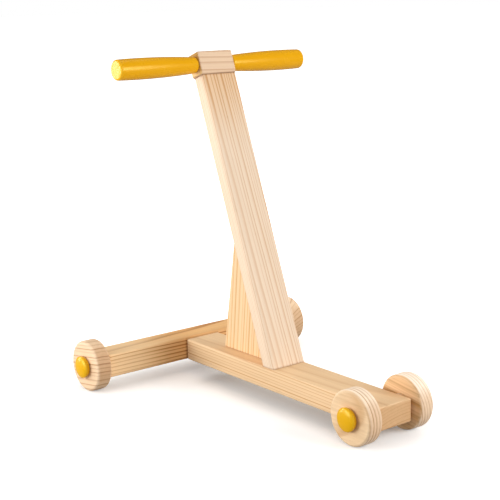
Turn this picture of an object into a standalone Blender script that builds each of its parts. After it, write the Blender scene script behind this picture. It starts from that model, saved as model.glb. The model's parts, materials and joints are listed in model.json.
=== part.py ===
"""Baby push walker: a T-shaped pine base on four wheels, a braced post that leans back, and a turned handle.

Metres, with +Z up and the floor at z = 0. The front is -Y, left is -X as seen from the front, and the
origin lies on the floor midway between the axles.
"""

from math import cos, pi, radians, sin, tan

import bmesh
import bpy
from mathutils import Matrix

# Clearances
FIT_GAP = 0.0003  # between pieces that are glued or rest on each other
RUN_GAP = 0.0003  # beside a turning wheel and round its peg

# Wheels
WHEEL_DIAMETER = 0.070
WHEEL_THICKNESS = 0.022
WHEEL_EDGE_ROUND = 0.004

# Axle pegs, with their button heads outside the wheels
PEG_DIAMETER = 0.010
PEG_END_CHAMFER = 0.001
PEG_MIDDLE_GAP = 0.006  # between the ends of the two front pegs, inside the plank
BUTTON_DIAMETER = 0.030
BUTTON_FOOT_DIAMETER = 0.024
BUTTON_HEIGHT = 0.0098
BUTTON_RIM_HEIGHT = 0.0055  # from the wheel's face up to the widest ring

# Spacer washers between the wheels and the base
WASHER_DIAMETER = 0.024
WASHER_THICKNESS = 0.0038

# Base plank
PLANK_LENGTH = 0.3885
PLANK_WIDTH = 0.0555
PLANK_THICKNESS = 0.030
PLANK_EDGE_ROUND = 0.0025
PLANK_AXLE_OFFSET = 0.0026  # from the middle of its thickness up to the axle
FRONT_AXLE_SETBACK = 0.0225  # from the plank's front end

# Rear crossbeam, flush with the plank underneath
BEAM_LENGTH = 0.314
BEAM_DEPTH = 0.0415
BEAM_HEIGHT = 0.0325
BEAM_EDGE_ROUND = 0.003

# Post
POST_LENGTH = 0.401  # along its front face
POST_WIDTH = 0.0555
POST_THICKNESS = 0.022
POST_TILT = radians(20.0)
POST_SETBACK = 0.195  # from the plank's front end to its front face
POST_EDGE_ROUND = 0.004

# Gusset brace behind the post
GUSSET_THICKNESS = 0.017
GUSSET_BASE = 0.1055
GUSSET_HEIGHT = 0.190
GUSSET_TIP = 0.005
GUSSET_EDGE_ROUND = 0.002

# Head block
HEAD_HEIGHT = 0.032
HEAD_SIDE_OVERHANG = 0.0012
HEAD_FRONT_OVERHANG = 0.001
HEAD_BACK_OVERHANG = 0.002
HEAD_EDGE_ROUND = 0.003

# Grips: a belly, a slimmer outer end, a slim neck at the head block, and a tenon inside it
GRIP_LENGTH = 0.1236  # outside the head block
GRIP_BELLY_DIAMETER = 0.028
GRIP_BELLY_REACH = 0.087  # from the head block
GRIP_END_DIAMETER = 0.027
GRIP_END_ROUND = 0.003
GRIP_NECK_DIAMETER = 0.0218
GRIP_SHOULDER_ROUND = 0.003
TENON_DIAMETER = 0.013
TENON_DOWEL_WALL = 0.0035  # between a tenon and the head dowel

# Dowels
DOWEL_CHAMFER = 0.0008
HEAD_DOWEL_DIAMETER = 0.010
HEAD_DOWEL_LENGTH = 0.050
HEAD_DOWEL_REACH = 0.018  # up into the head block
BEAM_DOWEL_DIAMETER = 0.010
BEAM_DOWEL_LENGTH = 0.050
BEAM_DOWEL_SPACING = 0.028
GUSSET_DOWEL_DIAMETER = 0.008
GUSSET_DOWEL_LENGTH = 0.030
GUSSET_DOWEL_START = 0.075  # from the post's foot, along its front face
GUSSET_DOWEL_SPACING = 0.050

# Countersunk screws up through the plank
SCREW_DIAMETER = 0.0045
SCREW_LENGTH = 0.050
SCREW_TIP = 0.005
SCREW_HEAD_DIAMETER = 0.009
SCREW_HEAD_RIM = 0.0004
SCREW_SINK = 0.0005  # below the plank's underside
RECESS_WIDTH = 0.0012
RECESS_LENGTH = 0.0048
RECESS_DEPTH = 0.0020
POST_SCREW_SPACING = 0.028
GUSSET_SCREW_START = 0.030  # from the gusset's front foot
GUSSET_SCREW_SPACING = 0.045

# Mesh fineness
WHEEL_SIDES = 40  # even, so that a wheel can stand on a flat
GRIP_SIDES = 32
PEG_SIDES = 28
WASHER_SIDES = 24
DOWEL_SIDES = 16
SCREW_SIDES = 12
EDGE_SEGMENTS = 3
DOME_STEPS = 6
GRIP_STEPS = 6
WELD = 0.00001
CUT_OVERSHOOT = 0.002  # by which a cutter passes the face that it starts from
SMOOTH_ANGLE = radians(35.0)
FLAT_ANGLE = radians(0.5)

# Derived places
WHEEL_RADIUS = WHEEL_DIAMETER / 2
AXLE_HEIGHT = WHEEL_RADIUS * cos(pi / WHEEL_SIDES)
PLANK_TOP = AXLE_HEIGHT - PLANK_AXLE_OFFSET + PLANK_THICKNESS / 2
PLANK_UNDERSIDE = PLANK_TOP - PLANK_THICKNESS
WHEELBASE = PLANK_LENGTH - FRONT_AXLE_SETBACK + FIT_GAP + BEAM_DEPTH / 2
FRONT_AXLE_Y = -WHEELBASE / 2
REAR_AXLE_Y = WHEELBASE / 2
PLANK_FRONT = FRONT_AXLE_Y - FRONT_AXLE_SETBACK
PLANK_BACK = PLANK_FRONT + PLANK_LENGTH
WASHER_OFFSET = FIT_GAP + WASHER_THICKNESS / 2
WHEEL_OFFSET = FIT_GAP + WASHER_THICKNESS + RUN_GAP + WHEEL_THICKNESS / 2
BUTTON_OFFSET = WHEEL_OFFSET + WHEEL_THICKNESS / 2 + RUN_GAP
PEG_SEAT = (PLANK_WIDTH - PEG_MIDDLE_GAP) / 2
HEAD_WIDTH = POST_WIDTH + 2 * HEAD_SIDE_OVERHANG
HEAD_DEPTH = HEAD_FRONT_OVERHANG + POST_THICKNESS + HEAD_BACK_OVERHANG
HEAD_BASE = POST_LENGTH + FIT_GAP
TENON_LENGTH = (HEAD_WIDTH - HEAD_DOWEL_DIAMETER) / 2 - TENON_DOWEL_WALL
GUSSET_FRONT = POST_THICKNESS + FIT_GAP
SCREW_HEAD_HEIGHT = (SCREW_HEAD_DIAMETER - SCREW_DIAMETER) / 2 + SCREW_HEAD_RIM
SCREW_BASE = PLANK_UNDERSIDE + SCREW_SINK
SCREW_REACH = SCREW_BASE + SCREW_LENGTH - PLANK_TOP

LEFT, RIGHT = -1, 1
SIDES = {"left": LEFT, "right": RIGHT}

# Turns an outline's x, y and thickness to the part's y, z and x
SIDE_ON = Matrix(((0, 0, 1, 0), (1, 0, 0, 0), (0, 1, 0, 0), (0, 0, 0, 1)))


def clear_scene():
    for old in list(bpy.data.objects):
        bpy.data.objects.remove(old, do_unlink=True)


def new_collection(name):
    made = bpy.data.collections.new(name)
    bpy.context.scene.collection.children.link(made)
    return made


def new_material(name, colour, roughness, metallic=0.0):
    material = bpy.data.materials.new(name)
    material.use_nodes = True
    shader = material.node_tree.nodes["Principled BSDF"]
    shader.inputs["Base Color"].default_value = (*colour, 1.0)
    shader.inputs["Roughness"].default_value = roughness
    shader.inputs["Metallic"].default_value = metallic
    return material


def new_axes(name, placement, parent=None):
    """An empty that carries the pieces placed along its axes."""
    axes = bpy.data.objects.new(name, None)
    PARTS.objects.link(axes)
    axes.parent = parent
    axes.matrix_basis = placement
    return axes


def add_part(name, mesh, material, parent, placement):
    part = bpy.data.objects.new(name, mesh)
    PARTS.objects.link(part)
    part.parent = parent
    part.matrix_basis = placement
    if not mesh.materials:
        mesh.materials.append(material)
    return part


def add_cutter(name, mesh, parent, placement):
    cutter = bpy.data.objects.new(name, mesh)
    CUTTERS.objects.link(cutter)
    cutter.parent = parent
    cutter.matrix_basis = placement
    cutter.hide_render = True
    cutter.display_type = "WIRE"
    return cutter


def cut(part, cutter):
    hole = part.modifiers.new(cutter.name, "BOOLEAN")
    hole.operation = "DIFFERENCE"
    hole.solver = "EXACT"
    hole.object = cutter


def round_edges(part, radius, chosen=lambda along: True):
    """Rounds the edges of the part whose direction is chosen."""
    mesh = part.data
    weights = mesh.attributes.new("bevel_weight_edge", "FLOAT", "EDGE")
    for edge in mesh.edges:
        start, end = (mesh.vertices[index].co for index in edge.vertices)
        weights.data[edge.index].value = float(chosen((end - start).normalized()))
    bevel = part.modifiers.new("rounded_edges", "BEVEL")
    bevel.limit_method = "WEIGHT"
    bevel.width = radius
    bevel.segments = EDGE_SEGMENTS


def finished_mesh(shape, name):
    """Welds a bmesh, frees it and gives its mesh, shaded smooth but for its sharp edges."""
    bmesh.ops.remove_doubles(shape, verts=shape.verts, dist=WELD)
    mesh = bpy.data.meshes.new(name)
    shape.to_mesh(mesh)
    shape.free()
    mesh.shade_smooth()
    mesh.set_sharp_from_angle(angle=SMOOTH_ANGLE)
    return mesh


def solid_of(guide, name, whole_caps=False):
    """The guide object's evaluated shape as a mesh, each flat cap one face if asked. The guide is removed."""
    CUTTERS.objects.link(guide)
    graph = bpy.context.evaluated_depsgraph_get()
    evaluated = bpy.data.meshes.new_from_object(guide.evaluated_get(graph))
    bpy.data.objects.remove(guide)
    shape = bmesh.new()
    shape.from_mesh(evaluated)
    bpy.data.meshes.remove(evaluated)
    if whole_caps:
        bmesh.ops.remove_doubles(shape, verts=shape.verts, dist=WELD)
        bmesh.ops.dissolve_limit(shape, angle_limit=FLAT_ANGLE, verts=shape.verts, edges=shape.edges)
    return finished_mesh(shape, name)


def box_mesh(name, size):
    shape = bmesh.new()
    bmesh.ops.create_cube(shape, size=1.0, matrix=Matrix.Diagonal((*size, 1.0)))
    return finished_mesh(shape, name)


def outline_mesh(name, outline, thickness):
    """A flat outline of (x, y) points, extruded along z to this thickness about z = 0."""
    curve = bpy.data.curves.new(name, "CURVE")
    curve.dimensions = "2D"
    curve.fill_mode = "BOTH"
    curve.extrude = thickness / 2
    spline = curve.splines.new("POLY")
    spline.points.add(len(outline) - 1)
    for point, (x, y) in zip(spline.points, outline):
        point.co = (x, y, 0.0, 1.0)
    spline.use_cyclic_u = True
    return solid_of(bpy.data.objects.new(name + "_outline", curve), name, whole_caps=True)


def turned_mesh(name, profile, sides, closed=False):
    """A profile of (radius, height) points turned about z. It runs down the outer side, top to bottom."""
    shape = bmesh.new()
    points = [shape.verts.new((radius, 0.0, height)) for radius, height in profile]
    ends = points[1:] + points[:1] if closed else points[1:]
    for upper, lower in zip(points, ends):
        shape.edges.new((upper, lower))
    outline = bpy.data.meshes.new(name + "_profile")
    shape.to_mesh(outline)
    shape.free()
    guide = bpy.data.objects.new(name + "_profile", outline)
    screw = guide.modifiers.new("turn", "SCREW")
    screw.axis = "Z"
    screw.steps = sides
    screw.render_steps = sides
    screw.use_merge_vertices = True
    screw.merge_threshold = WELD
    return solid_of(guide, name)


def rod_mesh(name, diameter, low, high, sides):
    radius = diameter / 2
    return turned_mesh(name, [(0, high), (radius, high), (radius, low), (0, low)], sides)


def arc(centre, radii, start, end, steps):
    """Points on an ellipse's arc, from one angle to another, in degrees."""
    turns = [radians(start + (end - start) * step / steps) for step in range(steps + 1)]
    return [(centre[0] + radii[0] * cos(turn), centre[1] + radii[1] * sin(turn)) for turn in turns]


def outward(side):
    """Turns a piece's z axis to point away from the walker's middle on that side."""
    return Matrix.Rotation(side * pi / 2, 4, "Y")


def shift(x=0.0, y=0.0, z=0.0):
    return Matrix.Translation((x, y, z))


def add_dowel(name, diameter, length, parent, placement, hosts):
    """A glued dowel, centred on its placement along z, and its hole in the two pieces that it joins."""
    half = length / 2
    radius = diameter / 2
    tip = radius - DOWEL_CHAMFER
    profile = [(0, half), (tip, half), (radius, half - DOWEL_CHAMFER)]
    profile += [(r, -z) for r, z in reversed(profile)]
    add_part(name, turned_mesh(name, profile, DOWEL_SIDES), BEECH, parent, placement)
    bore = rod_mesh(name + "_hole", diameter + 2 * FIT_GAP, -half - FIT_GAP, half + FIT_GAP, DOWEL_SIDES)
    hole = add_cutter(name + "_hole", bore, parent, placement)
    for host in hosts:
        cut(host, hole)


def add_base():
    plank = add_part(
        "base_plank",
        box_mesh("base_plank", (PLANK_WIDTH, PLANK_LENGTH, PLANK_THICKNESS)),
        PINE,
        WALKER,
        shift(y=(PLANK_FRONT + PLANK_BACK) / 2, z=PLANK_TOP - PLANK_THICKNESS / 2),
    )
    round_edges(plank, PLANK_EDGE_ROUND)
    beam = add_part(
        "rear_crossbeam",
        box_mesh("rear_crossbeam", (BEAM_LENGTH, BEAM_DEPTH, BEAM_HEIGHT)),
        PINE,
        WALKER,
        shift(y=REAR_AXLE_Y, z=PLANK_UNDERSIDE + BEAM_HEIGHT / 2),
    )
    round_edges(beam, BEAM_EDGE_ROUND)
    along_plank = Matrix.Rotation(-pi / 2, 4, "X")
    for side_name, side in SIDES.items():
        add_dowel(
            f"crossbeam_dowel_{side_name}",
            BEAM_DOWEL_DIAMETER,
            BEAM_DOWEL_LENGTH,
            WALKER,
            shift(
                side * BEAM_DOWEL_SPACING / 2,
                PLANK_BACK + FIT_GAP / 2,
                PLANK_TOP - PLANK_THICKNESS / 2,
            )
            @ along_plank,
            (plank, beam),
        )
    return plank, beam


def add_post():
    """The post, in its own axes: z up along its front face and y towards its back."""
    outline = [
        (0, 0),
        (POST_THICKNESS, POST_THICKNESS * tan(POST_TILT)),
        (POST_THICKNESS, POST_LENGTH),
        (0, POST_LENGTH),
    ]
    post = add_part("post", outline_mesh("post", outline, POST_WIDTH), PINE, POST_AXES, SIDE_ON)
    round_edges(post, POST_EDGE_ROUND, lambda along: abs(along.y) > cos(POST_TILT))
    return post


def add_gusset(post):
    front_foot = GUSSET_FRONT * tan(POST_TILT)
    back_foot = (
        GUSSET_FRONT + GUSSET_BASE * cos(POST_TILT),
        front_foot + GUSSET_BASE * sin(POST_TILT),
    )
    tip = front_foot + GUSSET_HEIGHT / cos(POST_TILT)
    tip_back = (GUSSET_FRONT + GUSSET_TIP, tip)
    outline = [(GUSSET_FRONT, front_foot), back_foot, tip_back, (GUSSET_FRONT, tip)]
    gusset = add_part(
        "gusset_brace",
        outline_mesh("gusset_brace", outline, GUSSET_THICKNESS),
        PINE,
        POST_AXES,
        SIDE_ON,
    )
    back_run = tip_back[0] - back_foot[0]
    back_rise = tip_back[1] - back_foot[1]
    back_length = (back_run**2 + back_rise**2) ** 0.5
    back_edge = cos(POST_TILT / 2)

    def on_back(along):
        return abs(along.x * back_run + along.y * back_rise) > back_edge * back_length

    round_edges(gusset, GUSSET_EDGE_ROUND, on_back)
    into_gusset = Matrix.Rotation(-pi / 2, 4, "X")
    for step, level in enumerate(("lower", "upper")):
        add_dowel(
            f"gusset_dowel_{level}",
            GUSSET_DOWEL_DIAMETER,
            GUSSET_DOWEL_LENGTH,
            POST_AXES,
            shift(
                y=POST_THICKNESS / 2 + GUSSET_DOWEL_LENGTH / 2,
                z=GUSSET_DOWEL_START + step * GUSSET_DOWEL_SPACING,
            )
            @ into_gusset,
            (post, gusset),
        )
    return gusset


def add_head(post):
    middle = shift(y=POST_THICKNESS / 2, z=HEAD_BASE + HEAD_HEIGHT / 2)
    off_centre = shift(y=(HEAD_BACK_OVERHANG - HEAD_FRONT_OVERHANG) / 2)
    size = (HEAD_WIDTH, HEAD_DEPTH, HEAD_HEIGHT)
    head = add_part("head_block", box_mesh("head_block", size), PINE, POST_AXES, middle @ off_centre)
    round_edges(head, HEAD_EDGE_ROUND)
    dowel_middle = HEAD_BASE + HEAD_DOWEL_REACH - HEAD_DOWEL_LENGTH / 2
    add_dowel(
        "head_dowel",
        HEAD_DOWEL_DIAMETER,
        HEAD_DOWEL_LENGTH,
        POST_AXES,
        shift(y=POST_THICKNESS / 2, z=dowel_middle),
        (post, head),
    )
    grip_mesh = turned_mesh("grip", grip_profile(), GRIP_SIDES)
    tenon_hole = rod_mesh(
        "tenon_hole",
        TENON_DIAMETER + 2 * FIT_GAP,
        -TENON_LENGTH - FIT_GAP,
        CUT_OVERSHOOT,
        GRIP_SIDES,
    )
    for side_name, side in SIDES.items():
        placement = middle @ outward(side) @ shift(z=HEAD_WIDTH / 2 + FIT_GAP)
        add_part(f"{side_name}_grip", grip_mesh, YELLOW, POST_AXES, placement)
        cut(head, add_cutter(f"{side_name}_tenon_hole", tenon_hole, POST_AXES, placement))


def grip_profile():
    """The grip from its outer end to its tenon's end, with its shoulder at height 0."""
    belly = GRIP_BELLY_DIAMETER / 2
    end = GRIP_END_DIAMETER / 2
    neck = GRIP_NECK_DIAMETER / 2
    tenon = TENON_DIAMETER / 2
    shoulder = min(GRIP_SHOULDER_ROUND, (neck - tenon) / 2)
    outer_run = GRIP_LENGTH - GRIP_END_ROUND - GRIP_BELLY_REACH
    inner_run = GRIP_BELLY_REACH - shoulder
    profile = [(0, GRIP_LENGTH)]
    profile += arc(
        (end - GRIP_END_ROUND, GRIP_LENGTH - GRIP_END_ROUND),
        (GRIP_END_ROUND, GRIP_END_ROUND),
        90,
        0,
        EDGE_SEGMENTS,
    )
    for step in range(GRIP_STEPS - 1, -1, -1):
        share = step / GRIP_STEPS
        profile.append((belly - (belly - end) * share**2, GRIP_BELLY_REACH + outer_run * share))
    for step in range(1, GRIP_STEPS):
        share = step / GRIP_STEPS
        profile.append((belly - (belly - neck) * share**2, GRIP_BELLY_REACH - inner_run * share))
    profile += arc((neck - shoulder, shoulder), (shoulder, shoulder), 0, -90, EDGE_SEGMENTS)
    profile += [
        (tenon, 0),
        (tenon, -TENON_LENGTH + DOWEL_CHAMFER),
        (tenon - DOWEL_CHAMFER, -TENON_LENGTH),
        (0, -TENON_LENGTH),
    ]
    return profile


def wheel_profile():
    bore = PEG_DIAMETER / 2 + RUN_GAP
    half = WHEEL_THICKNESS / 2
    rim = WHEEL_RADIUS - WHEEL_EDGE_ROUND
    radii = (WHEEL_EDGE_ROUND, WHEEL_EDGE_ROUND)
    outer = arc((rim, half - WHEEL_EDGE_ROUND), radii, 90, 0, EDGE_SEGMENTS)
    inner = arc((rim, WHEEL_EDGE_ROUND - half), radii, 0, -90, EDGE_SEGMENTS)
    return [(bore, half), *outer, *inner, (bore, -half)]


def peg_profile():
    """The peg from the top of its button to the end of its shank, with the button's foot at height 0."""
    shank = PEG_DIAMETER / 2
    button = BUTTON_DIAMETER / 2
    foot = BUTTON_FOOT_DIAMETER / 2
    low = -(BUTTON_OFFSET + PEG_SEAT)
    dome_radii = (button, BUTTON_HEIGHT - BUTTON_RIM_HEIGHT)
    undercut_radii = (button - foot, BUTTON_RIM_HEIGHT)
    profile = arc((0, BUTTON_RIM_HEIGHT), dome_radii, 90, 0, DOME_STEPS)
    profile += arc((foot, BUTTON_RIM_HEIGHT), undercut_radii, 0, -90, EDGE_SEGMENTS)[1:]
    profile[0] = (0, BUTTON_HEIGHT)
    profile += [
        (shank, 0),
        (shank, low + PEG_END_CHAMFER),
        (shank - PEG_END_CHAMFER, low),
        (0, low),
    ]
    return profile


def washer_profile():
    hole = PEG_DIAMETER / 2 + FIT_GAP
    rim = WASHER_DIAMETER / 2
    half = WASHER_THICKNESS / 2
    return [(hole, half), (rim, half), (rim, -half), (hole, -half)]


def add_running_gear(plank, beam):
    """Each corner's wheel, peg and washer, placed outwards from the side of the plank or the beam."""
    wheel_mesh = turned_mesh("wheel", wheel_profile(), WHEEL_SIDES, closed=True)
    peg_mesh = turned_mesh("axle_peg", peg_profile(), PEG_SIDES)
    washer_mesh = turned_mesh("washer", washer_profile(), WASHER_SIDES, closed=True)
    hole_mesh = rod_mesh(
        "peg_hole",
        PEG_DIAMETER + 2 * FIT_GAP,
        -PEG_SEAT - FIT_GAP,
        CUT_OVERSHOOT,
        PEG_SIDES,
    )
    on_a_flat = Matrix.Rotation(pi / WHEEL_SIDES, 4, "Z")
    ends = {
        "front": (FRONT_AXLE_Y, PLANK_WIDTH / 2, plank),
        "rear": (REAR_AXLE_Y, BEAM_LENGTH / 2, beam),
    }
    for end_name, (axle_y, base_side, host) in ends.items():
        for side_name, side in SIDES.items():
            corner = f"{end_name}_{side_name}"
            seat = shift(side * base_side, axle_y, AXLE_HEIGHT) @ outward(side)
            axle = new_axes(f"{corner}_axle", seat, WALKER)
            add_part(f"{corner}_wheel", wheel_mesh, WHEEL_PINE, axle, shift(z=WHEEL_OFFSET) @ on_a_flat)
            add_part(f"{corner}_axle_peg", peg_mesh, YELLOW, axle, shift(z=BUTTON_OFFSET))
            add_part(f"{corner}_washer", washer_mesh, BEECH, axle, shift(z=WASHER_OFFSET))
            cut(host, add_cutter(f"{corner}_peg_hole", hole_mesh, axle, Matrix()))


def screw_profile(clearance, low):
    """The screw from its tip down to its head, whose face is at height 0, or its hole with a clearance."""
    shank = SCREW_DIAMETER / 2 + clearance
    head = SCREW_HEAD_DIAMETER / 2 + clearance
    return [
        (0, SCREW_LENGTH + clearance),
        (shank, SCREW_LENGTH + clearance - SCREW_TIP),
        (shank, SCREW_HEAD_HEIGHT),
        (head, SCREW_HEAD_RIM),
        (head, low),
        (0, low),
    ]


def screw_mesh():
    """A countersunk screw with a cross recess in its head."""
    blank = turned_mesh("screw_blank", screw_profile(0, 0), SCREW_SIDES)
    guide = bpy.data.objects.new("screw_blank", blank)
    bar_mesh = box_mesh("recess_bar", (RECESS_LENGTH, RECESS_WIDTH, 2 * RECESS_DEPTH))
    bars = [
        add_cutter(f"recess_bar_{turn}", bar_mesh, None, Matrix.Rotation(turn * pi / 2, 4, "Z"))
        for turn in range(2)
    ]
    for bar in bars:
        cut(guide, bar)
    mesh = solid_of(guide, "screw")
    for bar in bars:
        bpy.data.objects.remove(bar)
    return mesh


def add_screws(plank, post, gusset):
    mesh = screw_mesh()
    hole_mesh = turned_mesh("screw_hole", screw_profile(FIT_GAP, -CUT_OVERSHOOT), SCREW_SIDES)
    post_foot = PLANK_FRONT + POST_SETBACK
    post_middle = post_foot + POST_THICKNESS / cos(POST_TILT) / 2
    post_screw_y = post_middle + SCREW_REACH * tan(POST_TILT) / 2
    gusset_foot = post_foot + GUSSET_FRONT / cos(POST_TILT)
    places = {
        f"post_screw_{side_name}": (side * POST_SCREW_SPACING / 2, post_screw_y, post)
        for side_name, side in SIDES.items()
    }
    for step, end_name in enumerate(("front", "rear")):
        y = gusset_foot + GUSSET_SCREW_START + step * GUSSET_SCREW_SPACING
        places[f"gusset_screw_{end_name}"] = (0.0, y, gusset)
    for name, (x, y, host) in places.items():
        placement = shift(x, y, SCREW_BASE)
        add_part(name, mesh, STEEL, WALKER, placement)
        hole = add_cutter(f"{name}_hole", hole_mesh, WALKER, placement)
        cut(plank, hole)
        cut(host, hole)


clear_scene()
PARTS = new_collection("baby_push_walker")
CUTTERS = new_collection("cutters")

PINE = new_material("pine", (0.86, 0.62, 0.38), 0.55)
WHEEL_PINE = new_material("wheel_pine", (0.88, 0.64, 0.41), 0.55)
YELLOW = new_material("yellow_paint", (0.84, 0.43, 0.008), 0.30)
BEECH = new_material("beech", (0.68, 0.45, 0.27), 0.60)
STEEL = new_material("zinc_steel", (0.62, 0.61, 0.58), 0.35, metallic=1.0)

WALKER = new_axes("walker", Matrix())
POST_AXES = new_axes(
    "post_axes",
    shift(y=PLANK_FRONT + POST_SETBACK, z=PLANK_TOP + FIT_GAP) @ Matrix.Rotation(-POST_TILT, 4, "X"),
    WALKER,
)

base_plank, rear_crossbeam = add_base()
leaning_post = add_post()
gusset_brace = add_gusset(leaning_post)
add_head(leaning_post)
add_running_gear(base_plank, rear_crossbeam)
add_screws(base_plank, leaning_post, gusset_brace)
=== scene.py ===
"""Looks of the baby push walker: pale pine boards and wheels, yellow satin paint, and a white studio.

Metres, in the frame's axes: +Z up, the front at -Y, and left at -X as seen from the front. Every finished
piece takes its size and place from the node that it stands for, and has its grain laid out in its own axes.
"""

import json
from math import cos, pi, radians, sin, tan

import bmesh
import bpy
from mathutils import Euler, Matrix, Vector

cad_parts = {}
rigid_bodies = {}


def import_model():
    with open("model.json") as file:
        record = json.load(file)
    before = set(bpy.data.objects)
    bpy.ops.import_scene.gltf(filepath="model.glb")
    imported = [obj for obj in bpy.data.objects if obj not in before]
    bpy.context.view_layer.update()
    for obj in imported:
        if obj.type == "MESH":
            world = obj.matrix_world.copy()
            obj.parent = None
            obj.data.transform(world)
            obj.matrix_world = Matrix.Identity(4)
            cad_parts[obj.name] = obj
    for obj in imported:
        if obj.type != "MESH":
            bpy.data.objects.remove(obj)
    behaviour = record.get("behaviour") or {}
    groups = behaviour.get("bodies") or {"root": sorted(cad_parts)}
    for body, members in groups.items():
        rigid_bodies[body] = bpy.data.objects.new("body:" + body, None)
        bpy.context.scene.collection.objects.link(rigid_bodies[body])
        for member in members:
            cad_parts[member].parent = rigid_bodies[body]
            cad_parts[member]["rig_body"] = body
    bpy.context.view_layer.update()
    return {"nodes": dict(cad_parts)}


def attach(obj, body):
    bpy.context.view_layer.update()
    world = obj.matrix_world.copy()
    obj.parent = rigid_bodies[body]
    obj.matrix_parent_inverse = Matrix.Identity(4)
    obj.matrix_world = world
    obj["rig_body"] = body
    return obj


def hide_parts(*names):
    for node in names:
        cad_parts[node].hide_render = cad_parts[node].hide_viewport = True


# Camera, from the photograph's perspective
IMAGE_SIZE = 500
FOCAL_PIXELS = 1185.2
SENSOR_WIDTH = 36.0
CAMERA_TARGET = (-0.0033, 0.0536, 0.1925)
CAMERA_DISTANCE = 1.5867
CAMERA_AZIMUTH = radians(-38.343)
CAMERA_ELEVATION = radians(12.184)
CAMERA_ROLL = radians(-1.104)
CAMERA_CLIP = 0.05

# Shapes that the boxes of the nodes don't give
POST_TILT = radians(20.0)
PLANK_EDGE_ROUND = 0.0025
BEAM_EDGE_ROUND = 0.003
POST_EDGE_ROUND = 0.004
GUSSET_EDGE_ROUND = 0.002
HEAD_EDGE_ROUND = 0.003
ARRIS = 0.0004  # the eased edge that sanding leaves where a board isn't rounded
GUSSET_TIP = 0.005
WHEEL_EDGE_ROUND = 0.004
GRIP_BELLY_REACH = 0.087
GRIP_END_DIAMETER = 0.027
GRIP_END_ROUND = 0.003
GRIP_NECK_DIAMETER = 0.0218
GRIP_SHOULDER_ROUND = 0.003
TENON_DIAMETER = 0.013
PEG_DIAMETER = 0.010
PEG_END_CHAMFER = 0.001
BUTTON_FOOT_DIAMETER = 0.024
BUTTON_HEIGHT = 0.0098
BUTTON_RIM_HEIGHT = 0.0055
WASHER_ROUND = 0.0006
DOWEL_CHAMFER = 0.0008
SCREW_DIAMETER = 0.0045
SCREW_TIP = 0.005
SCREW_HEAD_RIM = 0.0004
RECESS_WIDTH = 0.0012
RECESS_LENGTH = 0.0048
RECESS_DEPTH = 0.0020
FIT_GAP = 0.0003
CUT_OVERSHOOT = 0.004

# Mesh fineness
EDGE_SEGMENTS = 6
WHEEL_SIDES = 144
GRIP_SIDES = 96
PEG_SIDES = 72
SMALL_SIDES = 48
CURVE_STEPS = 24
WELD = 0.000005
SMOOTH_ANGLE = radians(40.0)
EDGE_CURVE_LOW = 110.0  # curvature, in 1/m, at which a surface starts to count as an edge
EDGE_CURVE_HIGH = 230.0

# Colours
END_GRAIN = (0.80, 0.70, 0.60, 1.0)
# The head block's end grain, darker and gold: painted shade of the grips with their painted yellow reflection
HEAD_END_GRAIN_AND_SHADE = (0.60, 0.43, 0.08, 1.0)
# Painted light: the pale yellow end grain of the lit lower part of the head block's ends
PAINTED_LIT_END_GRAIN = (1.0, 0.95, 0.62, 1.0)
SANDED_EDGE = (0.04, 0.035, 0.03, 1.0)
# The redder tint of heartwood, which on the crossbeam also stands for painted shade towards the plank
HEARTWOOD_AND_SHADE = (0.95, 0.80, 0.60, 1.0)
# Painted shade: the colour that darkens the wood next to a joint
JOINT_SHADE_TINT = (0.45, 0.28, 0.15, 1.0)
RUBBED_TREAD = (1.10, 0.93, 0.75, 1.0)  # above 1 because the wood's tone then darkens it
PAINT_DEEP = (0.91, 0.43, 0.0010, 1.0)
PAINT_BRIGHT = (0.93, 0.45, 0.0012, 1.0)
PEG_PAINT_DEEP = (0.80, 0.42, 0.0010, 1.0)
PEG_PAINT_BRIGHT = (0.82, 0.44, 0.0012, 1.0)
PAINT_GLOSS = (1.0, 0.85, 0.3, 1.0)
PAINT_THIN = (0.90, 0.52, 0.03, 1.0)
BEECH_PALE = (0.72, 0.49, 0.29, 1.0)
BEECH_BROWN = (0.60, 0.37, 0.20, 1.0)
BEECH_FLECK = (0.34, 0.17, 0.08, 1.0)
ZINC_GREY = (0.56, 0.57, 0.58, 1.0)
ZINC_WARM = (0.68, 0.65, 0.58, 1.0)
ZINC_BRIGHT = (0.84, 0.84, 0.82, 1.0)

# Pine: noises per metre, across and along the trunk, and what each does to the tone, gloss and relief
SLOW_BEND = (9, 9, 2.2)
QUICK_BEND = (55, 55, 9)
STREAKS = (260, 260, 3.0)
FIBRES = (1500, 1500, 26)
CLOUDS = (16, 16, 4)
CANALS = (1100, 1100, 70)
CANAL_RANGE = (0.70, 0.76)
UNEVEN_PER_RING = 0.45
FAINTEST_RING = 0.45
LATE_WOOD_END = 0.9  # the part of a year at which its late wood ends
LATE_WOOD_PEAK = ((0.84, 1.0), (0.91, 0.85))  # parts of a year, each with how dark the wood is there
EARLY_LEVEL = 0.05
HALFWAY_LEVEL = 0.45
END_FACING = (0.55, 0.95)  # cosines at which a face starts to be end grain, and is all end grain
FLAT_FACING = (0.3, 0.9)
HEART_DRIFT = 0.03
HEART_FIGURE = 2.1  # how much stronger the rings are in heartwood
PINE_TONE = 0.88
STREAK_TONE = 0.16
FIBRE_TONE = 0.14
CLOUD_TONE = 0.10
CANAL_TONE = -0.12
GREEN_POWER = 1.25  # dark wood is redder: its green and blue fall faster than its red
BLUE_POWER = 1.7
PINE_ROUGHNESS = 0.56
LATE_ROUGHNESS = -0.10
FIBRE_ROUGHNESS = 0.14
LATE_RELIEF = 0.5
FIBRE_RELIEF = 0.6
PINE_BUMP = (0.00012, 0.35)  # depth and strength
# Painted shade in the joints between boards: how deep it is, and how far from a joint it reaches
JOINT_SHADE = 0.5
JOINT_SHADE_REACH = 0.0028  # how far from a joint the wood is darker

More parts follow.
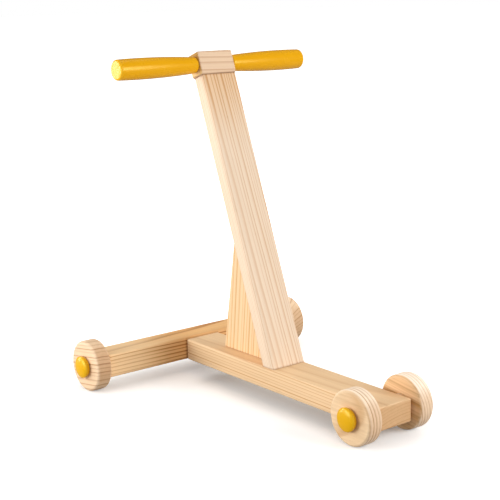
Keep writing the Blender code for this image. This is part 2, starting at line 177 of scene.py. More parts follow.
# Paint, beech and zinc: noises per metre, and what each does
PAINT_GRAIN = (420, 420, 14)
PAINT_GRAIN_RANGE = (0.45, 0.75)
PAINT_GRAIN_SHARE = 0.25
PAINT_PEEL = (900, 900, 900)
PAINT_CLOUDS = (38, 38, 38)
PAINT_CLOUD_RANGE = (0.2, 0.8)
PAINT_SPECKS = (640, 640, 640)
PAINT_SPECK_RANGE = (0.74, 0.80)
PAINT_SPECK_SHARE = 0.25
PAINT_WEAR = (0.35, 0.75, 0.05, 0.45)
PAINT_SPECULAR = 0.7
PAINT_ROUGHNESS = 0.24
PAINT_CLOUD_ROUGHNESS = 0.06
PAINT_WORN_ROUGHNESS = 0.15
PAINT_GRAIN_RELIEF = 0.2
PAINT_PEEL_RELIEF = 0.4
PAINT_BUMP = (0.00002, 0.1)
BEECH_FLECKS = (1600, 1600, 170)
BEECH_FLECK_SHARE = (0.60, 0.72, 0.0, 0.55)
BEECH_STREAKS = (240, 240, 14)
BEECH_STREAK_RANGE = (0.3, 0.7)
BEECH_ROUGHNESS = (0.2, 0.8, 0.52, 0.68)
BEECH_EDGE_SHARE = 0.3
BEECH_BUMP = (0.0001, 0.3)
ZINC_CLOUDS = (500, 500, 500)
ZINC_CLOUD_RANGE = (0.3, 0.7)
ZINC_GRAIN = (5200, 5200, 5200)
ZINC_ROUGHNESS = (0.25, 0.75, 0.26, 0.44)
ZINC_EDGE_SHARE = 0.5
ZINC_BUMP = (0.00003, 0.3)

# Light and stage
FILL_LEVEL = 0.40
FILL_COLOUR = (1.0, 0.99, 0.98, 1.0)
MIRROR_LEVEL = 0.15
WHITE = (1.0, 1.0, 1.0, 1.0)
FLOOR_REACH = 30.0
FLOOR_DROP = 0.0002
SEEN_FROM_ABOVE = (1, 1, 0)
# The floor's glow is low beside the plank and beam and rises away from them, which paints a darker shadow
# there: its dark core, its reach, the plank's ends trimmed off it, and its step back at the beam
PAINTED_SHADOW_CORE = 0.035  # how far from the plank the shadow's dark core reaches
SHADOW_REACH = 0.35
SHADOW_FRONT_TRIM = 0.04
SHADOW_REAR_TRIM = 0.06
SHADOW_BEAM_STEP = 0.03
FLOOR_COLOUR = (0.95, 0.95, 0.95, 1.0)
FLOOR_BOUNCE = (0.42, 0.42, 0.42, 1.0)
# The glow at the plank and at the edge of the painted shadow's core
FLOOR_GLOW_CORE = 0.02
FLOOR_GLOW_NEAR = 0.26
# Each light's place, aim, size and power, and whether it shows in mirror images
SOFTBOXES = {
    "left_softbox": ((-1.45, 0.45, 0.4), (0, 0.05, 0.2), (0.9, 0.7), 14.5, True),
    "rim_strip": ((-1.05, 1.5, 0.5), (0, 0.05, 0.2), (0.5, 1.2), 12.0, True),
    "right_softbox": ((0.7, -1.75, 0.8), (0, 0, 0.2), (0.8, 1.0), 21.5, True),
    "front_softbox": ((-0.9, -1.5, 0.9), (0, 0, 0.2), (0.8, 0.8), 4.0, True),
    "side_softbox": ((1.5, 0.35, 0.7), (0, 0, 0.1), (1.0, 1.0), 9.0, False),
    "top_softbox": ((0.1, 0.3, 1.8), (0, 0, 0), (1.2, 1.2), 2.5, True),
}

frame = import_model()

NODES = frame["nodes"]
SIDES = {"left": -1, "right": 1}
TILTED = Matrix.Rotation(-POST_TILT, 4, "X")
BOARD_AXES = {
    "base_plank": Matrix(),
    "rear_crossbeam": Matrix(),
    "post": TILTED,
    "gusset_brace": TILTED,
    "head_block": TILTED,
}


def span(node, axes=Matrix()):
    """The lowest and highest corner of a node, measured along the given axes."""
    inverse = axes.inverted()
    points = [inverse @ vertex.co for vertex in NODES[node].data.vertices]
    low = Vector([min(point[i] for point in points) for i in range(3)])
    high = Vector([max(point[i] for point in points) for i in range(3)])
    return low, high


def outward(side):
    """Turns a piece's z axis to point away from the walker's middle on that side."""
    return Matrix.Rotation(side * pi / 2, 4, "Y")


def arc(centre, radii, start, end, steps):
    """Points on an ellipse's arc, from one angle to another, in degrees."""
    turns = [radians(start + (end - start) * step / steps) for step in range(steps + 1)]
    return [(centre[0] + radii[0] * cos(turn), centre[1] + radii[1] * sin(turn)) for turn in turns]


# Meshes


def shaded_mesh(shape, name):
    """Welds a bmesh, marks how far each point is on a rounded edge, and gives a smoothly shaded mesh."""
    bmesh.ops.remove_doubles(shape, verts=shape.verts, dist=WELD)
    bmesh.ops.recalc_face_normals(shape, faces=shape.faces)
    edge_layer = shape.verts.layers.float.new("edge")
    for edge in shape.edges:
        if len(edge.link_faces) != 2:
            continue
        first, second = edge.link_faces
        reach = (first.calc_center_median() - second.calc_center_median()).length
        curve = edge.calc_face_angle(0.0) / max(reach, WELD)
        share = (curve - EDGE_CURVE_LOW) / (EDGE_CURVE_HIGH - EDGE_CURVE_LOW)
        for vertex in edge.verts:
            vertex[edge_layer] = max(vertex[edge_layer], min(share, 1.0))
    mesh = bpy.data.meshes.new(name)
    shape.to_mesh(mesh)
    shape.free()
    mesh.shade_smooth()
    mesh.set_sharp_from_angle(angle=SMOOTH_ANGLE)
    return mesh


def new_object(name, mesh, placement=Matrix()):
    made = bpy.data.objects.new(name, mesh)
    bpy.context.scene.collection.objects.link(made)
    made.matrix_world = placement
    return made


def turned_mesh(name, profile, sides, closed=False):
    """A profile of (radius, height) points turned about z."""
    shape = bmesh.new()
    points = [shape.verts.new((radius, 0.0, height)) for radius, height in profile]
    ends = points[1:] + points[:1] if closed else points[1:]
    edges = [shape.edges.new(pair) for pair in zip(points, ends)]
    bmesh.ops.spin(
        shape,
        geom=points + edges,
        axis=(0, 0, 1),
        angle=2 * pi,
        steps=sides,
        use_merge=True,
    )
    return shaded_mesh(shape, name)


def rod_mesh(name, radius, low, high, sides=SMALL_SIDES):
    return turned_mesh(name, [(0, high), (radius, high), (radius, low), (0, low)], sides)


def prism_mesh(name, outline, low_x, high_x):
    """A flat outline of (y, z) points, drawn out along x."""
    shape = bmesh.new()
    face = shape.faces.new([shape.verts.new((low_x, y, z)) for y, z in outline])
    drawn = bmesh.ops.extrude_face_region(shape, geom=[face])
    moved = [item for item in drawn["geom"] if isinstance(item, bmesh.types.BMVert)]
    bmesh.ops.translate(shape, verts=moved, vec=(high_x - low_x, 0, 0))
    bmesh.ops.recalc_face_normals(shape, faces=shape.faces)
    mesh = bpy.data.meshes.new(name)
    shape.to_mesh(mesh)
    shape.free()
    return mesh


def evaluated_shape(piece):
    graph = bpy.context.evaluated_depsgraph_get()
    mesh = bpy.data.meshes.new_from_object(piece.evaluated_get(graph))
    shape = bmesh.new()
    shape.from_mesh(mesh)
    bpy.data.meshes.remove(mesh)
    return shape


def round_edges(piece, radius, chosen=lambda along: True):
    """Rounds the chosen edges to a radius, and eases the rest."""
    mesh = piece.data
    weights = mesh.attributes.new("bevel_weight_edge", "FLOAT", "EDGE")
    for edge in mesh.edges:
        start, end = (mesh.vertices[index].co for index in edge.vertices)
        rounded = chosen((end - start).normalized())
        weights.data[edge.index].value = 1.0 if rounded else ARRIS / radius
    bevel = piece.modifiers.new("rounded_edges", "BEVEL")
    bevel.limit_method = "WEIGHT"
    bevel.width = radius
    bevel.segments = EDGE_SEGMENTS


def finish_board(piece, cutters):
    """Applies the board's rounding and holes, and evens out its shading."""
    for cutter in cutters:
        hole = piece.modifiers.new(cutter.name, "BOOLEAN")
        hole.operation = "DIFFERENCE"
        hole.solver = "EXACT"
        hole.object = cutter
    bpy.context.view_layer.update()
    shape = evaluated_shape(piece)
    piece.modifiers.clear()
    old = piece.data
    piece.data = shaded_mesh(shape, piece.name)
    bpy.data.meshes.remove(old)
    even = piece.modifiers.new("even_shading", "WEIGHTED_NORMAL")
    even.keep_sharp = True


def dress(piece, node, material):
    """The piece stands for a node: it rides on the node's body and takes its slot."""
    piece.data.materials.clear()
    piece.data.materials.append(material)
    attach(piece, NODES[node]["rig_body"])
    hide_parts(node)


# Nodes of the materials


def add_node(tree, kind, inputs=None, **settings):
    made = tree.nodes.new(kind)
    for name, value in settings.items():
        setattr(made, name, value)
    for socket, value in (inputs or {}).items():
        if isinstance(value, bpy.types.NodeSocket):
            tree.links.new(value, made.inputs[socket])
        else:
            made.inputs[socket].default_value = value
    return made


def calc(tree, operation, first, second=0.0, third=0.0, clamp=False):
    inputs = {0: first, 1: second, 2: third}
    return add_node(tree, "ShaderNodeMath", inputs, operation=operation, use_clamp=clamp).outputs[0]


def vector_calc(tree, operation, *values):
    made = add_node(tree, "ShaderNodeVectorMath", dict(enumerate(values)), operation=operation)
    return made.outputs["Value" if operation in ("LENGTH", "DOT_PRODUCT") else "Vector"]


def noise(tree, vector, scale, detail, roughness=0.5):
    """A noise with its own scale along each axis, as a value and a colour."""
    inputs = {"Vector": vector_calc(tree, "MULTIPLY", vector, scale), "Scale": 1.0}
    inputs.update({"Detail": detail, "Roughness": roughness})
    return add_node(tree, "ShaderNodeTexNoise", inputs).outputs


def between(tree, value, low, high, to_low=0.0, to_high=1.0):
    """Maps a value from one range to another, held at its ends and eased."""
    inputs = {"Value": value, 1: low, 2: high, 3: to_low, 4: to_high}
    return add_node(tree, "ShaderNodeMapRange", inputs, interpolation_type="SMOOTHSTEP").outputs[0]


def blend_colour(tree, share, first, second, blend_type="MIX"):
    inputs = {0: share, 6: first, 7: second}
    return add_node(tree, "ShaderNodeMix", inputs, data_type="RGBA", blend_type=blend_type).outputs[2]


def tint(tree, share, colour, filter_colour):
    """Multiplies a share of a colour by another."""
    return blend_colour(tree, share, colour, blend_colour(tree, 1.0, colour, filter_colour, "MULTIPLY"))


def ramp(tree, value, stops):
    made = add_node(tree, "ShaderNodeValToRGB", {0: value})
    made.color_ramp.interpolation = "EASE"
    elements = made.color_ramp.elements
    while len(elements) < len(stops):
        elements.new(1.0)
    for element, (position, level) in zip(elements, stops):
        element.position = position
        element.color = (level, level, level, 1.0)
    return made.outputs[0]


def edge_mark(tree):
    """How far a point is on a rounded edge, as shaded_mesh marked it."""
    return add_node(tree, "ShaderNodeAttribute", attribute_name="edge").outputs["Fac"]


def new_material(name):
    material = bpy.data.materials.new(name)
    material.use_nodes = True
    tree = material.node_tree
    return material, tree, tree.nodes["Principled BSDF"]


def add_bump(tree, shader, height, distance, strength):
    inputs = {"Height": height, "Distance": distance, "Strength": strength}
    bump = add_node(tree, "ShaderNodeBump", inputs)
    tree.links.new(bump.outputs[0], shader.inputs["Normal"])


def beside(tree, place, low, high, axes=(1, 1, 1)):
    """How far a place is from the box between two corners, counted along the given axes."""
    offset = vector_calc(tree, "SUBTRACT", place, (low + high) / 2)
    past = vector_calc(tree, "SUBTRACT", vector_calc(tree, "ABSOLUTE", offset), (high - low) / 2)
    outside = vector_calc(tree, "MAXIMUM", past, (0, 0, 0))
    return vector_calc(tree, "LENGTH", vector_calc(tree, "MULTIPLY", outside, axes))


def neighbours(node, others):
    """The boxes of the boards that a board joins, each with the turn from its own axes to the box's."""
    low, high = span(node, BOARD_AXES[node])
    middle = BOARD_AXES[node] @ ((low + high) / 2)
    boxes = []
    for other in others:
        to_box = BOARD_AXES[other].inverted()
        box_low, box_high = span(other, BOARD_AXES[other])
        turn = (to_box @ BOARD_AXES[node]).to_euler()
        boxes.append((turn, box_low - to_box @ middle, box_high - to_box @ middle))
    return boxes


def painted_joint_shade(tree, place, joints):
    """How much painted shade a place gets beside a joint: most at a neighbour's face, and none beyond the
    shade's reach.
    """
    nearest = JOINT_SHADE_REACH
    for turn, low, high in joints:
        turned = add_node(tree, "ShaderNodeMapping", {"Vector": place, "Rotation": turn}).outputs[0]
        nearest = calc(tree, "MINIMUM", beside(tree, turned, low, high), nearest)
    return between(tree, nearest, 0.0, JOINT_SHADE_REACH, JOINT_SHADE, 0.0)


def pine(
    name,
    early,
    late,
    pith,
    trunk,
    pitch,
    late_share=0.3,
    figure=1.0,
    wander=0.003,
    spread=0.8,
    heart_and_shade=None,
    pale_radius=None,
    tread_wear=0.0,
    end_figure=1.0,
    face_figure=1.0,
    end_tint=END_GRAIN,
    painted_end_light=None,
    streak=STREAK_TONE,
    joints=(),
):
    """Pine cut from a trunk: year rings round its pith, streaks and fibres along it, and darker end grain.

    pith is a point on the trunk's axis and trunk its turn from z, both in the piece's own axes. Rings get
    narrower away from the pith, each with the same area, and pitch is their width at the piece's middle.
    early and late are the colours of a ring's two parts, late_share the part that is late wood, figure how
    dark that is, wander how far the rings stray and spread how much they vary.

    heart_and_shade is where along the trunk the wood starts to turn redder and where it is all turned:
    heartwood, and on the crossbeam also painted shade that deepens from near its left end towards the plank.
    pale_radius is how far from the pith it still is pale, and from where on it isn't. tread_wear is how pale
    a wheel's rim is rubbed. end_figure and face_figure are how much of the rings' contrast shows on end grain
    and on the faces across the piece's z axis, and streak is how strong the streaks are on those faces.
    end_tint colours the end grain, and on the head block it holds painted shade and a painted yellow
    reflection of the grips. painted_end_light is how far from the pith the end grain is painted pale instead,
    as if lit, and from where on it isn't. joints are the neighbours next to which the wood gets painted
    shade.
    """
    material, tree, shader = new_material(name)
    coordinates = add_node(tree, "ShaderNodeTexCoord").outputs
    inputs = {"Vector": coordinates["Object"], "Location": pith, "Rotation": trunk}
    point = add_node(tree, "ShaderNodeMapping", inputs, vector_type="TEXTURE").outputs[0]

    slow = vector_calc(tree, "SUBTRACT", noise(tree, point, SLOW_BEND, 2.0)[1], (0.5, 0.5, 0.5))
    quick = vector_calc(tree, "SUBTRACT", noise(tree, point, QUICK_BEND, 2.0)[1], (0.5, 0.5, 0.5))
    bent = vector_calc(tree, "MULTIPLY_ADD", slow, (2 * wander, 2 * wander, 0), point)
    bent = vector_calc(tree, "MULTIPLY_ADD", quick, (wander / 2, wander / 2, 0), bent)
    radius = vector_calc(tree, "LENGTH", vector_calc(tree, "MULTIPLY", bent, (1, 1, 0)))

    growth = 2 * pitch * Vector(pith).length
    count = calc(tree, "DIVIDE", calc(tree, "POWER", radius, 2.0), growth)
    inputs = {"W": calc(tree, "MULTIPLY", count, UNEVEN_PER_RING), "Scale": 1.0, "Detail": 1.0}
    uneven = add_node(tree, "ShaderNodeTexNoise", noise_dimensions="1D", inputs=inputs).outputs[0]
    year = calc(tree, "MULTIPLY_ADD", uneven, 2 * spread, count)
    inputs = {"W": calc(tree, "FLOOR", year)}
    each_year = add_node(tree, "ShaderNodeTexWhiteNoise", noise_dimensions="1D", inputs=inputs).outputs[0]
    strength = between(tree, each_year, 0.0, 1.0, FAINTEST_RING * figure, figure)
    start = LATE_WOOD_END - late_share
    rise = [(0.0, EARLY_LEVEL), (start, EARLY_LEVEL), (start + late_share / 2, HALFWAY_LEVEL)]
    within = ramp(tree, calc(tree, "FRACT", year), [*rise, *LATE_WOOD_PEAK, (1.0, EARLY_LEVEL)])
    late_wood = calc(tree, "MULTIPLY", within, strength, clamp=True)

    along = Euler(trunk).to_matrix() @ Vector((0, 0, 1))
    facing = vector_calc(tree, "DOT_PRODUCT", coordinates["Normal"], along)
    end_grain = between(tree, calc(tree, "ABSOLUTE", facing), *END_FACING)
    late_wood = calc(tree, "MULTIPLY", late_wood, between(tree, end_grain, 0.0, 1.0, 1.0, end_figure))
    upward = add_node(tree, "ShaderNodeSeparateXYZ", {0: coordinates["Normal"]}).outputs["Z"]
    flat_face = between(tree, calc(tree, "ABSOLUTE", upward), *FLAT_FACING)
    late_wood = calc(tree, "MULTIPLY", late_wood, between(tree, flat_face, 0.0, 1.0, 1.0, face_figure))

    streaks = noise(tree, point, STREAKS, 3.0)[0]
    fibres = noise(tree, point, FIBRES, 2.0, 0.6)[0]
    clouds = noise(tree, point, CLOUDS, 1.0)[0]
    canals = between(tree, noise(tree, point, CANALS, 1.0)[0], *CANAL_RANGE)

    if heart_and_shade:
        height = add_node(tree, "ShaderNodeSeparateXYZ", {0: point}).outputs["Z"]
        reddening = between(tree, calc(tree, "MULTIPLY_ADD", clouds, HEART_DRIFT, height), *heart_and_shade)
        if pale_radius:
            reddening = calc(tree, "MULTIPLY", reddening, between(tree, radius, *pale_radius))
        stronger = between(tree, reddening, 0.0, 1.0, 1.0, HEART_FIGURE)
        late_wood = calc(tree, "MULTIPLY", late_wood, stronger, clamp=True)

    if tread_wear:
        rubbed = between(tree, flat_face, 0.0, 1.0, tread_wear, 0.0)
        early = blend_colour(tree, rubbed, early, RUBBED_TREAD)
    colour = blend_colour(tree, late_wood, early, late)
    streak_tone = between(tree, flat_face, 0.0, 1.0, STREAK_TONE, streak)
    tone = calc(tree, "MULTIPLY_ADD", calc(tree, "SUBTRACT", streaks, 0.5), streak_tone, PINE_TONE)
    tone = calc(tree, "MULTIPLY_ADD", fibres, FIBRE_TONE, tone)
    tone = calc(tree, "MULTIPLY_ADD", clouds, CLOUD_TONE, tone)
    tone = calc(tree, "MULTIPLY_ADD", canals, CANAL_TONE, tone)
    channels = {0: tone, 1: calc(tree, "POWER", tone, GREEN_POWER), 2: calc(tree, "POWER", tone, BLUE_POWER)}
    wood_tone = add_node(tree, "ShaderNodeCombineColor", channels).outputs[0]
    colour = blend_colour(tree, 1.0, colour, wood_tone, "MULTIPLY")
    # Heartwood, and on the crossbeam painted shade that deepens towards the plank
    if heart_and_shade:
        colour = tint(tree, reddening, colour, HEARTWOOD_AND_SHADE)
    # Painted light: end grain near the pith is painted pale, as if lit
    if painted_end_light:
        end_tint = blend_colour(tree, between(tree, radius, *painted_end_light), PAINTED_LIT_END_GRAIN, end_tint)
    colour = tint(tree, end_grain, colour, end_tint)
    sanded = calc(tree, "MULTIPLY", edge_mark(tree), calc(tree, "MULTIPLY_ADD", streaks, 0.5, 0.5))
    colour = blend_colour(tree, sanded, colour, blend_colour(tree, 1.0, colour, SANDED_EDGE, "SCREEN"))
    # Painted shade: the wood is darker next to the boards that this one joins
    if joints:
        colour = tint(tree, painted_joint_shade(tree, coordinates["Object"], joints), colour, JOINT_SHADE_TINT)

    tree.links.new(colour, shader.inputs["Base Color"])
    rough = calc(tree, "MULTIPLY_ADD", late_wood, LATE_ROUGHNESS, PINE_ROUGHNESS)
    rough = calc(tree, "MULTIPLY_ADD", fibres, FIBRE_ROUGHNESS, rough)
    tree.links.new(rough, shader.inputs["Roughness"])
    relief = calc(tree, "MULTIPLY_ADD", late_wood, LATE_RELIEF, calc(tree, "MULTIPLY", fibres, FIBRE_RELIEF))
    add_bump(tree, shader, relief, *PINE_BUMP)
    return material


def yellow_paint(name, deep, bright):
    """Satin paint on turned wood: a faint orange peel, the wood's grain under it, and thin paint on edges."""
    material, tree, shader = new_material(name)
    place = add_node(tree, "ShaderNodeTexCoord").outputs["Object"]
    grain = noise(tree, place, PAINT_GRAIN, 2.0)[0]
    peel = noise(tree, place, PAINT_PEEL, 2.0)[0]
    clouds = noise(tree, place, PAINT_CLOUDS, 3.0)[0]
    specks = between(tree, noise(tree, place, PAINT_SPECKS, 1.0)[0], *PAINT_SPECK_RANGE)
    colour = blend_colour(tree, between(tree, clouds, *PAINT_CLOUD_RANGE), deep, bright)
    grain_share = calc(tree, "MULTIPLY", between(tree, grain, *PAINT_GRAIN_RANGE), PAINT_GRAIN_SHARE)
    colour = blend_colour(tree, grain_share, colour, deep)
    worn = calc(tree, "MULTIPLY", edge_mark(tree), between(tree, clouds, *PAINT_WEAR))
    colour = blend_colour(tree, worn, colour, PAINT_THIN)
    colour = blend_colour(tree, calc(tree, "MULTIPLY", specks, PAINT_SPECK_SHARE), colour, PAINT_THIN)
    shader.inputs["Specular IOR Level"].default_value = PAINT_SPECULAR
    shader.inputs["Specular Tint"].default_value = PAINT_GLOSS
    tree.links.new(colour, shader.inputs["Base Color"])
    rough = calc(tree, "MULTIPLY_ADD", clouds, PAINT_CLOUD_ROUGHNESS, PAINT_ROUGHNESS)
    rough = calc(tree, "MULTIPLY_ADD", worn, PAINT_WORN_ROUGHNESS, rough)
    tree.links.new(rough, shader.inputs["Roughness"])
    peel_relief = calc(tree, "MULTIPLY", peel, PAINT_PEEL_RELIEF)
    relief = calc(tree, "MULTIPLY_ADD", grain, PAINT_GRAIN_RELIEF, peel_relief)
    add_bump(tree, shader, relief, *PAINT_BUMP)
    return material


def beech(name):
    """Bare beech with its short dark flecks along the piece's z axis."""
    material, tree, shader = new_material(name)
    place = add_node(tree, "ShaderNodeTexCoord").outputs["Object"]
    flecks = noise(tree, place, BEECH_FLECKS, 2.0)[0]
    streaks = noise(tree, place, BEECH_STREAKS, 3.0)[0]
    colour = blend_colour(tree, between(tree, streaks, *BEECH_STREAK_RANGE), BEECH_PALE, BEECH_BROWN)
    colour = blend_colour(tree, between(tree, flecks, *BEECH_FLECK_SHARE), colour, BEECH_FLECK)
    rubbed = calc(tree, "MULTIPLY", edge_mark(tree), BEECH_EDGE_SHARE)
    colour = blend_colour(tree, rubbed, colour, BEECH_PALE)
    tree.links.new(colour, shader.inputs["Base Color"])
    tree.links.new(between(tree, streaks, *BEECH_ROUGHNESS), shader.inputs["Roughness"])
    add_bump(tree, shader, flecks, *BEECH_BUMP)
    return material


def zinc(name):
    """Zinc plate on steel: a fine grain, cloudy passivation and brighter edges."""
    material, tree, shader = new_material(name)
    place = add_node(tree, "ShaderNodeTexCoord").outputs["Object"]
    clouds = noise(tree, place, ZINC_CLOUDS, 3.0)[0]
    grain = noise(tree, place, ZINC_GRAIN, 2.0)[0]
    colour = blend_colour(tree, between(tree, clouds, *ZINC_CLOUD_RANGE), ZINC_GREY, ZINC_WARM)
    rubbed = calc(tree, "MULTIPLY", edge_mark(tree), ZINC_EDGE_SHARE)
    colour = blend_colour(tree, rubbed, colour, ZINC_BRIGHT)
    shader.inputs["Metallic"].default_value = 1.0
    tree.links.new(colour, shader.inputs["Base Color"])
    tree.links.new(between(tree, clouds, *ZINC_ROUGHNESS), shader.inputs["Roughness"])
    add_bump(tree, shader, grain, *ZINC_BUMP)
    return material


# Turned pieces


def axle_placement(node, side):
    """The middle of a node that lies along x, with its z axis outwards."""
    low, high = span(node)
    return Matrix.Translation((low + high) / 2) @ outward(side)


def wheel_profile(radius, half):
    bore = PEG_DIAMETER / 2 + FIT_GAP
    rim = radius - WHEEL_EDGE_ROUND
    radii = (WHEEL_EDGE_ROUND, WHEEL_EDGE_ROUND)
    eased = bore + ARRIS
    outer = arc((rim, half - WHEEL_EDGE_ROUND), radii, 90, 0, 2 * EDGE_SEGMENTS)
    inner = arc((rim, WHEEL_EDGE_ROUND - half), radii, 0, -90, 2 * EDGE_SEGMENTS)
    return [(bore, half - ARRIS), (eased, half), *outer, *inner, (eased, -half), (bore, ARRIS - half)]


def peg_profile(radius, length):
    """The peg from the top of its button to the end of its shank, with the button's foot at height 0."""
    shank = PEG_DIAMETER / 2
    foot = BUTTON_FOOT_DIAMETER / 2
    low = BUTTON_HEIGHT - length
    dome = arc((0, BUTTON_RIM_HEIGHT), (radius, BUTTON_HEIGHT - BUTTON_RIM_HEIGHT), 90, 0, CURVE_STEPS)
    dome[0] = (0, BUTTON_HEIGHT)
    undercut = arc((foot, BUTTON_RIM_HEIGHT), (radius - foot, BUTTON_RIM_HEIGHT), 0, -90, 2 * EDGE_SEGMENTS)
    shank_end = [(shank, low + PEG_END_CHAMFER), (shank - PEG_END_CHAMFER, low), (0, low)]
    return dome + undercut[1:] + [(shank, 0)] + shank_end


def washer_profile(radius, half):
    hole = PEG_DIAMETER / 2 + FIT_GAP
    radii = (WASHER_ROUND, WASHER_ROUND)
    upper = arc((radius - WASHER_ROUND, half - WASHER_ROUND), radii, 90, 0, EDGE_SEGMENTS)
    lower = arc((radius - WASHER_ROUND, WASHER_ROUND - half), radii, 0, -90, EDGE_SEGMENTS)
    return [(hole, half), *upper, *lower, (hole, -half)]


def grip_profile(belly, length, tenon_length):
    """The grip from its outer end to its tenon's end, with its shoulder at height 0."""
    end = GRIP_END_DIAMETER / 2
    neck = GRIP_NECK_DIAMETER / 2
    tenon = TENON_DIAMETER / 2
    shoulder = min(GRIP_SHOULDER_ROUND, (neck - tenon) / 2)
    outer_run = length - GRIP_END_ROUND - GRIP_BELLY_REACH
    inner_run = GRIP_BELLY_REACH - shoulder
    rounding = (GRIP_END_ROUND, GRIP_END_ROUND)
    profile = [(0, length)]
    profile += arc((end - GRIP_END_ROUND, length - GRIP_END_ROUND), rounding, 90, 0, 2 * EDGE_SEGMENTS)
    for step in range(CURVE_STEPS - 1, -1, -1):
        share = step / CURVE_STEPS
        profile.append((belly - (belly - end) * share**2, GRIP_BELLY_REACH + outer_run * share))
    for step in range(1, CURVE_STEPS):
        share = step / CURVE_STEPS
        profile.append((belly - (belly - neck) * share**2, GRIP_BELLY_REACH - inner_run * share))
    profile += arc((neck - shoulder, shoulder), (shoulder, shoulder), 0, -90, EDGE_SEGMENTS)
    profile += [(tenon, 0), (tenon, DOWEL_CHAMFER - tenon_length)]
    profile += [(tenon - DOWEL_CHAMFER, -tenon_length), (0, -tenon_length)]
    return profile


def dowel_profile(radius, half):
    tip = radius - DOWEL_CHAMFER
    profile = [(0, half), (tip, half), (radius, half - DOWEL_CHAMFER)]
    return profile + [(r, -z) for r, z in reversed(profile)]


def screw_profile(length, head_radius, clearance, low):
    """The screw from its tip down to its head, whose face is at height 0, or its hole with a clearance."""
    shank = SCREW_DIAMETER / 2 + clearance
    head = head_radius + clearance
    cone_top = SCREW_HEAD_RIM + head - shank
    tip = (shank, length + clearance - SCREW_TIP)
    return [(0, length + clearance), tip, (shank, cone_top), (head, SCREW_HEAD_RIM), (head, low), (0, low)]


def add_wheels(timbers):
    for corner, timber in timbers.items():
        node = f"{corner}_wheel"
        side = SIDES[corner.split("_")[1]]
        low, high = span(node)
        radius = (high.y - low.y) / 2
        profile = wheel_profile(radius, (high.x - low.x) / 2)
        name = f"pine_{node}"
        mesh = turned_mesh(name, profile, WHEEL_SIDES, closed=True)
        wheel = new_object(name, mesh, axle_placement(node, side))
        dress(wheel, node, timber)


def add_pegs(paint, cutters):
    for end in ("front", "rear"):
        for side_name, side in SIDES.items():
            node = f"{end}_{side_name}_axle_peg"
            low, high = span(node)
            length = high.x - low.x
            radius = (high.y - low.y) / 2
            outer = high.x if side > 0 else low.x
            middle = (low + high) / 2
            middle.x = outer - side * BUTTON_HEIGHT
            placement = Matrix.Translation(middle) @ outward(side)
            name = f"yellow_{node}"
            peg = new_object(name, turned_mesh(name, peg_profile(radius, length), PEG_SIDES), placement)
            dress(peg, node, paint)
            depth = BUTTON_HEIGHT - length - FIT_GAP
            hole = rod_mesh(f"{node}_hole", PEG_DIAMETER / 2 + FIT_GAP, depth, CUT_OVERSHOOT)
            host = "base_plank" if end == "front" else "rear_crossbeam"
            cutters[host].append(new_object(f"{node}_hole", hole, placement))


def add_washers(material):
    for end in ("front", "rear"):
        for side_name, side in SIDES.items():
            node = f"{end}_{side_name}_washer"
            low, high = span(node)
            profile = washer_profile((high.y - low.y) / 2, (high.x - low.x) / 2)
            name = f"beech_{node}"
            mesh = turned_mesh(name, profile, PEG_SIDES, closed=True)
            washer = new_object(name, mesh, axle_placement(node, side))
            dress(washer, node, material)


def add_grips(paint, cutters):
    head_low, head_high = span("head_block", TILTED)
    shoulder = (head_high.x - head_low.x) / 2 + FIT_GAP
    for side_name, side in SIDES.items():
        node = f"{side_name}_grip"
        low, high = span(node, TILTED)
        middle = (low + high) / 2
        middle.x = side * shoulder
        placement = TILTED @ Matrix.Translation(middle) @ outward(side)
        length = max(high.x, -low.x) - shoulder
        tenon_length = (high.x - low.x) - length
        profile = grip_profile((high.z - low.z) / 2, length, tenon_length)
        name = f"yellow_{node}"
        grip = new_object(name, turned_mesh(name, profile, GRIP_SIDES), placement)
        dress(grip, node, paint)
        hole = rod_mesh(f"{node}_hole", TENON_DIAMETER / 2 + FIT_GAP, -tenon_length - FIT_GAP, CUT_OVERSHOOT)
        cutters["head_block"].append(new_object(f"{node}_hole", hole, placement))


def add_dowels(material, cutters):
    """Each dowel lies along the y or z axis of the axes that it is laid out in."""
    lie_along_y = Matrix.Rotation(-pi / 2, 4, "X")
    dowels = {
        "crossbeam_dowel_left": (Matrix(), lie_along_y, ("base_plank", "rear_crossbeam")),
        "crossbeam_dowel_right": (Matrix(), lie_along_y, ("base_plank", "rear_crossbeam")),
        "gusset_dowel_lower": (TILTED, lie_along_y, ("post", "gusset_brace")),
        "gusset_dowel_upper": (TILTED, lie_along_y, ("post", "gusset_brace")),
        "head_dowel": (TILTED, Matrix(), ("post", "head_block")),
    }
    for node, (axes, turn, hosts) in dowels.items():
        low, high = span(node, axes)
        placement = axes @ Matrix.Translation((low + high) / 2) @ turn
        radius = (high.x - low.x) / 2
        half = max(high - low) / 2
        name = f"beech_{node}"
        dowel = new_object(name, turned_mesh(name, dowel_profile(radius, half), SMALL_SIDES), placement)
        dress(dowel, node, material)
        bore = rod_mesh(f"{node}_hole", radius + FIT_GAP, -half - FIT_GAP, half + FIT_GAP)
        hole = new_object(f"{node}_hole", bore, placement)
        for host in hosts:
            cutters[host].append(hole)


